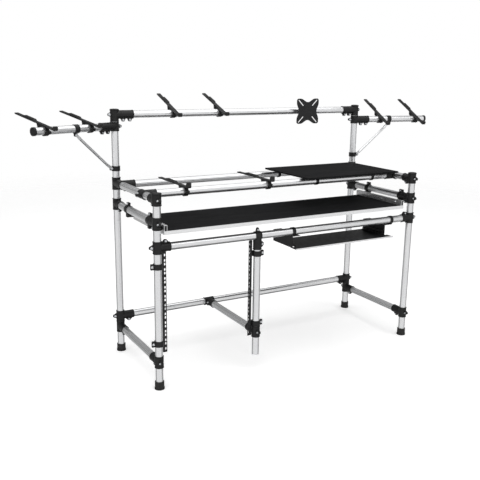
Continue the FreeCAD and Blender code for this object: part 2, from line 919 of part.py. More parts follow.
def arm_profile(front, back, lip):
    """Side outline of the bar: a lip turned up in front and a chamfered tip behind."""
    low = bore_radius + arm_ring_wall - arm_sink
    top = low + arm_thickness
    outer = arm_bend + arm_thickness
    return [
        (-front, low, outer),
        (back - arm_tip_chamfer, low, 0),
        (back, low + arm_tip_chamfer, 0),
        (back, top, 0),
        (-front + arm_thickness, top, arm_bend),
        (-front + arm_thickness, top + lip, 0),
        (-front, top + lip, 0),
    ]


def support_arm(front, back, lip):
    """Support arm: ring clamp in two parts with a web behind it, bar with a lip, and a pad."""
    outer = bore_radius + arm_ring_wall
    clamp = ring(outer, bore_radius, arm_width)
    clamp = placed(clamp, V(0, 0, 0), RIGHT, BACK)
    ears = []
    for direction in (1, -1):
        low = V(direction * bore_radius, -arm_width / 2, -arm_ear_thickness)
        high = V(direction * (outer + arm_ear_reach), arm_width / 2, arm_ear_thickness)
        ears.append(box(V(min(low.x, high.x), low.y, low.z), V(max(low.x, high.x), high.y, high.z)))
    bore = placed(rod(DOWN * arm_width, UP * arm_width, bore_radius), V(0, 0, 0), RIGHT, BACK)
    bar = upright_slab(arm_profile(front, back, lip), arm_width)
    under = outer - arm_sink
    web_corners = [
        (0, arm_web_rise, 0),
        (arm_web_reach - arm_ear_reach, arm_web_rise, 0),
        (arm_web_reach, under + arm_sink, 0),
        (0, under + arm_sink, 0),
    ]
    web = upright_slab(web_corners, arm_width)
    body = clamp.fuse(ears + [bar, web]).cut(bore).removeSplitter()
    reach = 2 * (front + back)
    gap = box(V(-reach, -reach, -arm_split_gap / 2), V(reach, reach, arm_split_gap / 2))
    solids = body.cut(gap).Solids
    top = bore_radius + arm_ring_wall - arm_sink + arm_thickness
    start = back * arm_pad_start_share
    end = back * arm_pad_end_share
    pad = [
        (start, top, 0),
        (end, top, 0),
        (end - arm_pad_height, top + arm_pad_height, 0),
        (start + arm_pad_height, top + arm_pad_height, 0),
    ]
    solids.append(upright_slab(pad, arm_width))
    return group(solids)


def tilted(shape, origin, back, degrees):
    """Puts a support arm on a tube, its bar tilted up to the back."""
    angle = math.radians(degrees)
    along = back * math.cos(angle) + UP * math.sin(angle)
    upward = UP * math.cos(angle) - back * math.sin(angle)
    return placed(shape, origin, along, upward)


def support_arms():
    """All eight support arms."""
    nodes = {}
    short = support_arm(top_arm_front_length, top_arm_back_length, short_lip_height)
    for number, x in enumerate((top_arm_left_margin, top_arm_right_margin), 1):
        origin = V(x, frame_depth, top_rail_height)
        nodes["arm_top_%d" % number] = tilted(short, origin, BACK, top_arm_tilt)
    long = support_arm(tier_arm_front_length, tier_arm_back_length, tier_lip_height)
    for number, x in enumerate((tier_arm_left_margin, tier_arm_right_margin), 1):
        origin = V(x, tier_rail_setback, tier_height)
        nodes["arm_tier_%d" % number] = tilted(long, origin, BACK, 0)
    left = support_arm(wing_left_front_length, wing_left_back_length, short_lip_height)
    right = support_arm(wing_right_front_length, wing_right_back_length, short_lip_height)
    wing_arms = [
        ("left_1", -1, left, wing_left_inner_reach, wing_left_arm_tilt),
        ("left_2", -1, left, wing_left_outer_reach, wing_left_arm_tilt),
        ("right_1", 1, right, wing_right_inner_reach, wing_right_arm_tilt),
        ("right_2", 1, right, wing_right_outer_reach, wing_right_arm_tilt),
    ]
    for name, side, arm, reach, tilt in wing_arms:
        direction = wing_direction(side)
        back_way = UP.cross(direction) * side
        origin = wing_foot(side) + direction * reach
        nodes["arm_wing_" + name] = tilted(arm, origin, back_way, tilt)
    return nodes


# Monitor head


def plate_outline():
    """X-shaped plate with concave sides and cut corners, in the XZ plane."""
    half_width = plate_width / 2
    half_height = plate_height / 2
    inset = plate_corner / 2
    waist_x = plate_width * plate_waist_share
    waist_z = plate_height * plate_waist_share

    def corner(sx, sz):
        """Ends of one corner's cut: on the upright side and on the level side."""
        upright = V(sx * half_width, 0, sz * (half_height - inset))
        level = V(sx * (half_width - inset), 0, sz * half_height)
        return upright, level

    left_top, top_left = corner(-1, 1)
    right_top, top_right = corner(1, 1)
    right_low, low_right = corner(1, -1)
    left_low, low_left = corner(-1, -1)
    edges = [
        Part.makeLine(left_top, top_left),
        Part.Arc(top_left, V(0, 0, waist_z), top_right).toShape(),
        Part.makeLine(top_right, right_top),
        Part.Arc(right_top, V(waist_x, 0, 0), right_low).toShape(),
        Part.makeLine(right_low, low_right),
        Part.Arc(low_right, V(0, 0, -waist_z), low_left).toShape(),
        Part.makeLine(low_left, left_low),
        Part.Arc(left_low, V(-waist_x, 0, 0), left_top).toShape(),
    ]
    return Part.Face(Part.Wire(edges))


def plate_slot(sx, sz):
    """Slot along one diagonal, for two common hole patterns."""
    radius = plate_slot_width / 2
    inner = V(sx * plate_slot_inner, -overrun, sz * plate_slot_inner)
    outer = V(sx * plate_slot_outer, -overrun, sz * plate_slot_outer)
    along = (outer - inner).normalize()
    side = along.cross(BACK) * radius
    depth = BACK * (plate_thickness + 2 * overrun)
    edges = [
        Part.makeLine(inner + side, outer + side),
        Part.Arc(outer + side, outer + along * radius, outer - side).toShape(),
        Part.makeLine(outer - side, inner - side),
        Part.Arc(inner - side, inner - along * radius, inner + side).toShape(),
    ]
    return Part.Face(Part.Wire(edges)).extrude(depth)


def monitor_head():
    """Clamp on the top rail and the slotted plate in front of it."""
    plate = plate_outline().extrude(BACK * plate_thickness)
    slots = [plate_slot(sx, sz) for sx in (-1, 1) for sz in (-1, 1)]
    front = V(monitor_x, frame_depth - plate_reach, top_rail_height)
    rail = V(monitor_x, frame_depth, top_rail_height)
    half = RIGHT * (monitor_ring_width / 2)
    body = rod(rail - half, rail + half, sleeve_radius)
    neck = rod(front + BACK * plate_thickness, rail, monitor_neck_radius)
    ear_low = rail + V(-monitor_ring_width / 2, 0, -collar_ear_thickness / 2)
    ear_high = rail + V(monitor_ring_width / 2, sleeve_radius + collar_ear_reach, collar_ear_thickness / 2)
    body = body.fuse([neck, box(ear_low, ear_high)])
    body = body.cut(rod(rail - half * 2, rail + half * 2, bore_radius)).removeSplitter()
    return {"monitor_clamp": body, "monitor_plate": plate.cut(slots).translated(front)}


def all_nodes():
    """Every node's shape in the modelling frame."""
    nodes = {}
    for make in (posts, tubes, fittings, feet, rack_bay, desk, shelf, tray):
        nodes.update(make())
    nodes.update(wing(-1))
    nodes.update(wing(1))
    nodes.update(support_arms())
    nodes.update(monitor_head())
    return nodes


def origin_shift(nodes):
    """Vector that puts the bottom centre of the whole stand on the origin."""
    whole = FreeCAD.BoundBox()
    for shape in nodes.values():
        whole.add(shape.optimalBoundingBox(False, False))
    centre = whole.Center
    return V(-centre.x, -centre.y, -whole.ZMin)


nodes = all_nodes()
shift = origin_shift(nodes)
os.makedirs("parts", exist_ok=True)
for node_name, node_shape in nodes.items():
    node_shape.translated(shift).exportStep("parts/" + node_name + ".step")
print(len(nodes), "nodes, origin moved by", shift)
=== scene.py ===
import math

import bmesh
import bpy
from mathutils import Matrix, Vector


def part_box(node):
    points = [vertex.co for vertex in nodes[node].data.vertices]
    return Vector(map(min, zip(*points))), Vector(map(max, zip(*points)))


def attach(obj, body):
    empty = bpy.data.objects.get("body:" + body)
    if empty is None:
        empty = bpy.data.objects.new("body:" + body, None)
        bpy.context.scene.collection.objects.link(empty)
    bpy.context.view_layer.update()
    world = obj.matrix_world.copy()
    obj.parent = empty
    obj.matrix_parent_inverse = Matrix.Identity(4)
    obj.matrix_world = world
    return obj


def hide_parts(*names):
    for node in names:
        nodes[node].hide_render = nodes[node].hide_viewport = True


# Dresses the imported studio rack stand: materials on every part, ribs, rims and bolts on the
# clamp fittings, the slotted monitor plate, ribbed rubber on the support arms, then floor,
# light and camera. Lengths are millimetres unless a comment says otherwise; the frame is in metres.

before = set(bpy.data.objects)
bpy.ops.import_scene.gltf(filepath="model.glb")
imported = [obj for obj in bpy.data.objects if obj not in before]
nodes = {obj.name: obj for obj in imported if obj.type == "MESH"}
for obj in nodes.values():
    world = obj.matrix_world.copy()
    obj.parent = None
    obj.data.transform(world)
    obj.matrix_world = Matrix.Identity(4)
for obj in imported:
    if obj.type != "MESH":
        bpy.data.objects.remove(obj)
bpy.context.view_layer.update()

MM = 0.001
RIGHT = Vector((1, 0, 0))
LEFT = Vector((-1, 0, 0))
BACK = Vector((0, 1, 0))
FRONT = Vector((0, -1, 0))
UP = Vector((0, 0, 1))
DOWN = Vector((0, 0, -1))

# Places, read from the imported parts, in millimetres from the front left post's foot


def centre(node):
    """Middle of a part's box, in metres."""
    low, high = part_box(node)
    return (low + high) / 2


HOME = centre("post_front_left")
HOME.z = 0.0


def at(x, y, z):
    """Point of the frame, in metres, from millimetres off the front left post's axis."""
    return HOME + Vector((x, y, z)) * MM


def local(point):
    """Millimetres off the front left post's axis."""
    return (point - HOME) / MM


def level(node):
    """Height of a part's middle, in millimetres."""
    return local(centre(node)).z


WIDTH = local(centre("post_front_right")).x
DEPTH = local(centre("post_back_left")).y
MIDDLE = local(centre("post_middle")).x
BASE_SIDE = level("base_side_left")
BASE_RAIL = level("rail_base_back")
LOWER_RAIL = level("rail_front_lower")
DESK_SIDE = level("desk_side_left")
TIER = level("tier_side_left")
TOP_RAIL = level("rail_top")
BACK_RAIL = level("rail_tier_back")
WING = level("wing_cap_left")
TIER_RAIL_Y = local(centre("rail_tier_front")).y

# Sizes of the clamp fittings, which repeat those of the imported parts

TUBE_RADIUS = 19.05
BORE_CLEARANCE = 0.08
SLEEVE_WALL = 3.0
SOCKET_WALL = 2.8
BORE_RADIUS = TUBE_RADIUS + BORE_CLEARANCE
SLEEVE_RADIUS = BORE_RADIUS + SLEEVE_WALL
SOCKET_RADIUS = BORE_RADIUS + SOCKET_WALL
HALF_SLEEVE = 30.0
SOCKET_REACH = 74.0
SHORT_REACH = 63.0
LONG_REACH = 100.0
SIDE_REACH = 95.0
WING_REACH = 96.0
CLAMP_REACH = 70.0
HALF_CLAMP = 17.0
HALF_WING_TEE = 23.5
LOBE_REACH = 8.5
EAR_THICKNESS = 12.0
EAR_RISE = SOCKET_RADIUS + 6.0
EAR_SHARE = 0.64
PAIR_REACH = 46.0
PAIR_SPACING = 36.0

# Procedural materials. Colours are linear, and texture scales are per metre.

NOISE_LOW = 0.3
NOISE_HIGH = 0.7
EVEN = (1, 1, 1)


def start_material(name, metallic, roughness, specular=0.5):
    """New material, its node tree and its shader, with the constant sockets set."""
    material = bpy.data.materials.new(name)
    material.use_nodes = True
    tree = material.node_tree
    shader = tree.nodes["Principled BSDF"]
    shader.inputs["Metallic"].default_value = metallic
    shader.inputs["Roughness"].default_value = roughness
    shader.inputs["Specular IOR Level"].default_value = specular
    return material, tree, shader


def coordinates(tree, scale, turn=0.0):
    """Object coordinates in metres, scaled on each axis after a turn about Z."""
    source = tree.nodes.new("ShaderNodeTexCoord")
    turned = tree.nodes.new("ShaderNodeMapping")
    turned.inputs["Rotation"].default_value = (0, 0, turn)
    stretched = tree.nodes.new("ShaderNodeMapping")
    stretched.inputs["Scale"].default_value = scale
    tree.links.new(source.outputs["Object"], turned.inputs["Vector"])
    tree.links.new(turned.outputs["Vector"], stretched.inputs["Vector"])
    return stretched.outputs["Vector"]


def noise(tree, vector, scale, detail=3.0, rough=0.55):
    """Fractal noise value from 0 to 1."""
    texture = tree.nodes.new("ShaderNodeTexNoise")
    texture.inputs["Scale"].default_value = scale
    texture.inputs["Detail"].default_value = detail
    texture.inputs["Roughness"].default_value = rough
    tree.links.new(vector, texture.inputs["Vector"])
    return texture.outputs["Fac"]


def ramp(tree, value, stops):
    """Colour ramp through (position, colour) stops."""
    node = tree.nodes.new("ShaderNodeValToRGB")
    elements = node.color_ramp.elements
    while len(elements) < len(stops):
        elements.new(0.5)
    for element, (position, colour) in zip(elements, stops):
        element.position = position
        element.color = (*colour, 1.0)
    tree.links.new(value, node.inputs["Fac"])
    return node.outputs["Color"]


def mapped(tree, value, start, end, first, last):
    """Maps the range from start to end onto the range from first to last."""
    node = tree.nodes.new("ShaderNodeMapRange")
    for name, number in zip(("From Min", "From Max", "To Min", "To Max"), (start, end, first, last)):
        node.inputs[name].default_value = number
    tree.links.new(value, node.inputs["Value"])
    return node.outputs["Result"]


def spread(tree, value, low, high):
    """Maps the middle of noise onto a narrow range of values."""
    return mapped(tree, value, NOISE_LOW, NOISE_HIGH, low, high)


def mixed(tree, factor, first, second):
    """Mixes two colours; the colour sockets of this node have no name of their own."""
    node = tree.nodes.new("ShaderNodeMix")
    node.data_type = "RGBA"
    tree.links.new(factor, node.inputs["Factor"])
    tree.links.new(first, node.inputs[6])
    tree.links.new(second, node.inputs[7])
    return node.outputs[2]


def grey(value, tint=1.0):
    """Grey whose blue is raised by the tint."""
    return (value, value, value * tint)


def bump(tree, shader, height, strength, distance):
    """Relief of the surface; the distance is in metres."""
    node = tree.nodes.new("ShaderNodeBump")
    node.inputs["Strength"].default_value = strength
    node.inputs["Distance"].default_value = distance
    tree.links.new(height, node.inputs["Height"])
    tree.links.new(node.outputs["Normal"], shader.inputs["Normal"])


DARK_METAL = (0.70, 0.705, 0.715)
LIGHT_METAL = (0.86, 0.865, 0.875)


def drawn_aluminium(name, scale, turn=0.0, dark=DARK_METAL, light=LIGHT_METAL):
    """Satin anodised extrusion with fine die lines along its length."""
    material, tree, shader = start_material(name, metallic=0.92, roughness=0.3)
    lines = noise(tree, coordinates(tree, scale, turn), scale=1.0, detail=4.0, rough=0.62)
    cloud = noise(tree, coordinates(tree, EVEN), scale=9.0)
    marks = noise(tree, coordinates(tree, EVEN), scale=160.0, detail=2.0, rough=0.7)
    middle = tuple((a + 2 * b) / 3 for a, b in zip(dark, light))
    fine = ramp(tree, lines, [(0.28, dark), (0.44, middle), (0.62, light)])
    broad = ramp(tree, cloud, [(0.35, middle), (0.65, light)])
    speck = ramp(tree, marks, [(0.20, grey(0)), (0.27, grey(1))])
    both = mixed(tree, spread(tree, cloud, low=0.45, high=0.75), fine, broad)
    scuffed = mixed(tree, speck, ramp(tree, lines, [(0.0, dark), (1.0, middle)]), both)
    tree.links.new(scuffed, shader.inputs["Base Color"])
    tree.links.new(spread(tree, lines, low=0.22, high=0.34), shader.inputs["Roughness"])
    bump(tree, shader, lines, strength=0.16, distance=0.00012)
    return material


def moulded_plastic(name, base=0.006, lift=0.012, low=0.34, high=0.5, grain=1300.0):
    """Glass-filled black moulding: fine spark grain, slight flow marks and dust in the pores."""
    material, tree, shader = start_material(name, metallic=0.0, roughness=0.4, specular=0.3)
    even = coordinates(tree, EVEN)
    pores = noise(tree, even, scale=grain, detail=2.0, rough=0.6)
    flow = noise(tree, coordinates(tree, (1, 1, 3.5)), scale=38.0, detail=4.0)
    dust = noise(tree, even, scale=260.0, rough=0.7)
    deep = ramp(tree, flow, [(0.35, grey(base, 1.05)), (0.68, grey(lift, 1.05))])
    pale = ramp(tree, pores, [(0.30, grey(lift * 1.6)), (0.62, grey(base))])
    tone = mixed(tree, spread(tree, dust, low=0.0, high=0.55), deep, pale)
    tree.links.new(tone, shader.inputs["Base Color"])
    tree.links.new(spread(tree, dust, low, high), shader.inputs["Roughness"])
    bump(tree, shader, pores, strength=0.22, distance=0.00009)
    return material


def powder_coat(name, base=0.008, lift=0.014):
    """Black powder coat with orange peel and a few rubbed spots."""
    material, tree, shader = start_material(name, metallic=0.0, roughness=0.42, specular=0.3)
    even = coordinates(tree, EVEN)
    peel = noise(tree, even, scale=620.0, detail=2.0, rough=0.5)
    rub = noise(tree, even, scale=55.0, detail=5.0, rough=0.65)
    stops = [(0.40, grey(base, 1.08)), (0.60, grey(lift, 1.05)), (0.78, grey(lift * 2.2))]
    tree.links.new(ramp(tree, rub, stops), shader.inputs["Base Color"])
    tree.links.new(spread(tree, rub, low=0.34, high=0.5), shader.inputs["Roughness"])
    bump(tree, shader, peel, strength=0.2, distance=0.00015)
    return material


def laminate(name):
    """Black melamine face: pressed fine grain that runs along X, and faint wiping marks."""
    material, tree, shader = start_material(name, metallic=0.0, roughness=0.6, specular=0.04)
    grain = noise(tree, coordinates(tree, (0.06, 1, 1)), scale=900.0, rough=0.6)
    speckle = noise(tree, coordinates(tree, EVEN), scale=1500.0, detail=2.0, rough=0.7)
    wipes = noise(tree, coordinates(tree, (0.5, 1.6, 1)), scale=7.0, detail=5.0, rough=0.6)
    tone = ramp(tree, grain, [(0.30, (0.0055, 0.0055, 0.0060)), (0.70, (0.0120, 0.0120, 0.0128))])
    flecks = ramp(tree, speckle, [(0.42, (0.007, 0.007, 0.0075)), (0.80, (0.026, 0.026, 0.028))])
    face = mixed(tree, spread(tree, wipes, low=0.25, high=0.6), tone, flecks)
    tree.links.new(face, shader.inputs["Base Color"])
    tree.links.new(spread(tree, wipes, low=0.55, high=0.7), shader.inputs["Roughness"])
    bump(tree, shader, speckle, strength=0.18, distance=0.00010)
    return material


def rubber(name):
    """Matt black rubber with bloom and fine pitting."""
    material, tree, shader = start_material(name, metallic=0.0, roughness=0.75, specular=0.3)
    even = coordinates(tree, EVEN)
    bloom = noise(tree, even, scale=90.0, detail=5.0, rough=0.6)
    pits = noise(tree, even, scale=1700.0, detail=2.0, rough=0.6)
    tone = ramp(tree, bloom, [(0.35, grey(0.012)), (0.72, (0.036, 0.035, 0.034))])
    tree.links.new(tone, shader.inputs["Base Color"])
    tree.links.new(spread(tree, bloom, low=0.62, high=0.86), shader.inputs["Roughness"])
    bump(tree, shader, pits, strength=0.3, distance=0.00012)
    return material


def plated_steel(name):
    """Bright zinc plate on bolts and nuts, with a slight bluish cloud."""
    material, tree, shader = start_material(name, metallic=1.0, roughness=0.25)
    even = coordinates(tree, EVEN)
    cloud = noise(tree, even, scale=240.0, detail=4.0, rough=0.6)
    turned = noise(tree, even, scale=1900.0, detail=2.0, rough=0.6)
    tone = ramp(tree, cloud, [(0.3, (0.55, 0.57, 0.60)), (0.7, (0.86, 0.87, 0.88))])
    tree.links.new(tone, shader.inputs["Base Color"])
    tree.links.new(spread(tree, cloud, low=0.16, high=0.34), shader.inputs["Roughness"])
    bump(tree, shader, turned, strength=0.12, distance=0.00006)
    return material


# Die lines are fine across a tube and long along it, so each direction has its own material.

FINE = 700.0
ALONG = 2.0
PALE_METAL = ((0.78, 0.785, 0.79), (0.91, 0.91, 0.915))
tube_along_x = drawn_aluminium("tube_along_x", (ALONG, FINE, FINE))
tube_along_y = drawn_aluminium("tube_along_y", (FINE, ALONG, FINE))
tube_along_z = drawn_aluminium("tube_along_z", (FINE, FINE, ALONG))
profile_metal = drawn_aluminium("profile_metal", (ALONG, FINE, FINE), 0.0, *PALE_METAL)
fitting_plastic = moulded_plastic("fitting_plastic")
arm_plastic = moulded_plastic("arm_plastic", lift=0.011, low=0.38, high=0.55, grain=1000.0)
black_board = laminate("black_board")
black_steel = powder_coat("black_steel")
runner_steel = powder_coat("runner_steel", base=0.016, lift=0.030)
foot_rubber = rubber("foot_rubber")
bright_steel = plated_steel("bright_steel")


def finish_with(node, material):
    """Puts one material on a carried-over part."""
    mesh = nodes[node].data
    mesh.materials.clear()
    mesh.materials.append(material)


def wing_foot(side):
    """Point where a wing's axis meets its post's axis; the side is -1 left and 1 right."""
    return at(0 if side < 0 else WIDTH, DEPTH, WING)


def wing_direction(side):
    """Horizontal direction of a wing's arm, from the cap at its end."""
    cap = centre("wing_cap_left" if side < 0 else "wing_cap_right")
    direction = cap - wing_foot(side)
    direction.z = 0
    return direction.normalized()


def tube_in_direction(name, direction):
    """Tube material whose lines follow a horizontal direction."""
    return drawn_aluminium(name, (ALONG, FINE, FINE), -math.atan2(direction.y, direction.x))


wing_tubes = {
    "left": tube_in_direction("tube_wing_left", wing_direction(-1)),
    "right": tube_in_direction("tube_wing_right", wing_direction(1)),
}
NODE_MATERIALS = {
    "base_middle_tube": tube_along_y,
    "desk_edge_profiles": profile_metal,
    "tray_nose_trim": profile_metal,
    "rubber_feet": foot_rubber,
    "desk_board": black_board,
    "shelf_board": black_board,
    "tray_side_plates": black_steel,
    "tray_pan": black_steel,
    "monitor_plate": black_steel,
    "tray_runners": runner_steel,
    "brace_left": wing_tubes["left"],
    "brace_right": wing_tubes["right"],
    "wing_arm_left": wing_tubes["left"],
    "wing_arm_right": wing_tubes["right"],
}
START_MATERIALS = {
    "post_": tube_along_z,
    "rail_": tube_along_x,
    "base_side_": tube_along_y,
    "desk_side_": tube_along_y,
    "tier_side_": tube_along_y,
    "rack_strip": black_steel,
    "arm_": arm_plastic,
}
# Tees keep the fittings' plastic, though some are named after the tubes they join.
for node in nodes:
    material = NODE_MATERIALS.get(node, fitting_plastic)
    if not node.endswith("_tees"):
        for start, choice in START_MATERIALS.items():
            if node.startswith(start):
                material = choice
    finish_with(node, material)

# Mesh helpers. Local shapes are in millimetres and go into the frame by a matrix.


def placing(origin, along_x, along_z):
    """Matrix from local millimetres to the frame, with the local X and Z axes as given."""
    along_y = along_z.cross(along_x)
    turn = Matrix((along_x, along_y, along_z)).transposed().to_4x4()
    return Matrix.Translation(origin) @ turn @ Matrix.Scale(MM, 4)


def on_circle(radius, angle, height):
    """Point at this radius, angle and height about local Z."""
    return Vector((radius * math.cos(angle), radius * math.sin(angle), height))


def bridge(mesh, rows, smooth=False):
    """Faces between neighbouring closed rows of corners."""
    for first, second in zip(rows, rows[1:]):
        count = len(first)
        for k in range(count):
            after = (k + 1) % count
            face = mesh.faces.new((first[k], first[after], second[after], second[k]))
            face.smooth = smooth


def close_ends(mesh, rows):
    """Flat faces on the first and the last row."""
    mesh.faces.new(list(reversed(rows[0])))
    mesh.faces.new(rows[-1])


def turned_ring(mesh, matrix, profile, segments=40):
    """Revolves closed (radius, height) points about local Z."""
    rows = []
    for index in range(segments):
        angle = 2 * math.pi * index / segments
        rows.append([mesh.verts.new(matrix @ on_circle(r, angle, h)) for r, h in profile])
    count = len(profile)
    for index, row in enumerate(rows):
        after = rows[(index + 1) % segments]
        for k in range(count):
            following = (k + 1) % count
            face = mesh.faces.new((row[k], after[k], after[following], row[following]))
            face.smooth = True


def turned_solid(mesh, matrix, profile, segments=32, smooth=True):
    """Revolves (radius, height) points about local Z and closes both ends with flat faces."""
    rows = []
    for radius, height in profile:
        points = [on_circle(radius, 2 * math.pi * k / segments, height) for k in range(segments)]
        rows.append([mesh.verts.new(matrix @ point) for point in points])
    bridge(mesh, rows, smooth)
    close_ends(mesh, rows)


def scaled(profile, size):
    """Profile points at another size."""
    return [(radius * size, height * size) for radius, height in profile]


def piece(name, mesh, material, body):
    """Turns the built mesh into a piece that rides on a body."""
    bmesh.ops.recalc_face_normals(mesh, faces=mesh.faces)
    data = bpy.data.meshes.new(name)
    mesh.to_mesh(data)
    mesh.free()
    data.materials.append(material)
    made = bpy.data.objects.new(name, data)
    bpy.context.scene.collection.objects.link(made)
    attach(made, body)
    return made


# Clamp fittings


class Fitting:
    """Place and sizes of one clamp fitting. The socket points along X, the sleeve along Z.

    The sleeve reaches this far below and above the origin, and may be capped on top. The
    socket lies this drop under the origin and its ears point along Z by the way's sign. The
    side, where there is one, is the reach of a second socket to the front. The lobe is how
    far behind the sleeve its bolt sits.
    """

    def __init__(self, group, origin, along_x, along_z=UP, reach=SOCKET_REACH, **extra):
        self.group = group
        self.origin = origin
        self.along_x = along_x
        self.along_z = along_z
        self.reach = reach
        self.body = extra.get("body", "frame")
        self.below = extra.get("below", HALF_SLEEVE)
        self.above = extra.get("above", HALF_SLEEVE)
        self.capped = extra.get("capped", False)
        self.way = extra.get("way", -1)
        self.drop = extra.get("drop", 0.0)
        self.side = extra.get("side")
        self.lobe = extra.get("lobe", LOBE_REACH)

    def ears(self):
        """Bolt places along the socket: one on a short socket, two on a long one."""
        if self.reach > PAIR_REACH + PAIR_SPACING:
            return [PAIR_REACH, PAIR_REACH + PAIR_SPACING]
        return [self.reach * EAR_SHARE]


TIER_ELBOW = {"below": 27.0, "above": 31.0, "capped": True}
TOP_ELBOW = {"below": 35.0, "above": 26.0, "capped": True, "lobe": 6.0}
CORNER_TEE = {"below": 34.0, "drop": TIER - BACK_RAIL, "side": SIDE_REACH}
MIDDLE_CLAMP = {"below": HALF_CLAMP, "above": HALF_CLAMP, "way": 1}
WING_TEE = {"below": HALF_WING_TEE, "above": HALF_WING_TEE}
SIDES = ((-1, "left"), (1, "right"))
fittings = []


def add(*place, **extra):
    """Lists one fitting."""
    fittings.append(Fitting(*place, **extra))


for x, inward in ((0, RIGHT), (WIDTH, LEFT)):
    for y, facing in ((0, BACK), (DEPTH, FRONT)):
        add("base_side_tees", at(x, y, BASE_SIDE), facing)
        add("desk_side_tees", at(x, y, DESK_SIDE), facing, UP, SHORT_REACH)
    add("base_rail_tees", at(x, DEPTH, BASE_RAIL), inward)
    add("lower_rail_tees", at(x, 0, LOWER_RAIL), inward, UP, SHORT_REACH, way=1)
    add("tier_elbows", at(x, 0, TIER), BACK, UP, SHORT_REACH, **TIER_ELBOW)
    add("top_elbows", at(x, DEPTH, TOP_RAIL), inward, UP, LONG_REACH, **TOP_ELBOW)
    add("tier_rail_tees", at(x, TIER_RAIL_Y, TIER), inward, FRONT, SHORT_REACH)
    add("tier_corner_tees", at(x, DEPTH, TIER), inward, UP, LONG_REACH, **CORNER_TEE)
add("base_rail_tees", at(MIDDLE, DEPTH, BASE_RAIL), FRONT, RIGHT)
add("base_rail_tees", at(MIDDLE, 0, BASE_RAIL), BACK)
add("lower_rail_tees", at(MIDDLE, 0, LOWER_RAIL), DOWN, RIGHT, CLAMP_REACH, **MIDDLE_CLAMP)
for side, name in SIDES:
    wing = {"body": "wing_" + name, **WING_TEE}
    add("wing_tee_" + name, wing_foot(side), wing_direction(side), UP, WING_REACH, **wing)

RIM_SINK = 0.4
SHOULDER_SHARE = 0.7
SLEEVE_RIM = (4.4, 0.9)
SOCKET_RIM = (4.8, 1.0)
SOCKET_RIB = (2.2, 0.6)
SOCKET_RIB_PLACE = SLEEVE_RADIUS + 9.0
DOME = ((1.6, -4.6), (1.9, -1.6), (0.9, 0.7), (-1.8, 2.4), (-7.0, 3.4), (-14.0, 3.9))
DOME_TIP = (2.0, 4.1)
DOME_SEGMENTS = 44


def rim_profile(radius, middle, size):
    """Closed section of a raised ring with soft shoulders, sunk a little into its wall."""
    width, proud = size
    half = width / 2
    soft = min(proud, half) * SHOULDER_SHARE
    return [
        (radius - RIM_SINK, middle - half),
        (radius + proud - soft, middle - half),
        (radius + proud, middle - half + soft),
        (radius + proud, middle + half - soft),
        (radius + proud - soft, middle + half),
        (radius - RIM_SINK, middle + half),
    ]


def rim_at_end(radius, end, size):
    """Rim whose outer edge is flush with the end of a positive or negative reach."""
    half = math.copysign(size[0] / 2, end)
    return rim_profile(radius, end - half, size)


def dress_fitting(mesh, one):
    """Raised rims and ribs of one clamp fitting, and the domed cap of an elbow."""
    matrix = placing(one.origin, one.along_x, one.along_z)
    turned_ring(mesh, matrix, rim_at_end(SLEEVE_RADIUS, -one.below, SLEEVE_RIM))
    if one.capped:
        dome = [(SLEEVE_RADIUS + out, one.above + rise) for out, rise in DOME]
        dome.append((DOME_TIP[0], one.above + DOME_TIP[1]))
        turned_solid(mesh, matrix, dome, DOME_SEGMENTS)
    else:
        turned_ring(mesh, matrix, rim_at_end(SLEEVE_RADIUS, one.above, SLEEVE_RIM))
    socket = placing(one.origin - one.along_z * one.drop * MM, one.along_z, one.along_x)
    turned_ring(mesh, socket, rim_at_end(SOCKET_RADIUS, one.reach, SOCKET_RIM))
    turned_ring(mesh, socket, rim_profile(SOCKET_RADIUS, SOCKET_RIB_PLACE, SOCKET_RIB))
    if one.side is not None:
        other = placing(one.origin, one.along_z, FRONT)
        turned_ring(mesh, other, rim_at_end(SOCKET_RADIUS, one.side, SOCKET_RIM))


# Bolts and nuts. Their profiles are (radius, height) points.

WASHER = ((7.6, 0.0), (7.6, 0.9), (7.2, 1.2), (4.0, 1.2), (4.0, 0.0))
WASHER_SEGMENTS = 28
HEAD = ((6.6, 1.2), (6.6, 2.4), (5.7, 3.9), (4.2, 4.6))
HEAD_SEGMENTS = 24
KEY_HALF_WIDTH = 2.5
KEY_HEIGHTS = (4.6, 2.2)
NUT = ((6.4, 0.0), (6.4, 4.0), (5.5, 5.0))
BOLT_END = ((2.9, 4.8), (2.9, 6.6), (2.3, 7.2))
BOLT_END_SEGMENTS = 20


def bolt_head(mesh, matrix, size=1.0):
    """Button head with a hex recess, standing on local Z 0."""
    turned_ring(mesh, matrix, scaled(WASHER, size), WASHER_SEGMENTS)
    angles = [2 * math.pi * k / HEAD_SEGMENTS for k in range(HEAD_SEGMENTS)]
    rows = [[on_circle(radius, angle, height) for angle in angles] for radius, height in HEAD]
    for height in KEY_HEIGHTS:
        row = []
        for angle in angles:
            radius = KEY_HALF_WIDTH / math.cos((angle % (math.pi / 3)) - math.pi / 6)
            row.append(on_circle(radius, angle, height))
        rows.append(row)
    made = [[mesh.verts.new(matrix @ (point * size)) for point in row] for row in rows]
    bridge(mesh, made[:len(HEAD)], smooth=True)
    bridge(mesh, made[len(HEAD) - 1:])
    close_ends(mesh, made)


def nut(mesh, matrix, size=1.0):
    """Hex nut with chamfered corners and the bolt's end, standing on local Z 0."""
    turned_solid(mesh, matrix, scaled(NUT, size), 6, smooth=False)
    turned_solid(mesh, matrix, scaled(BOLT_END, size), BOLT_END_SEGMENTS)


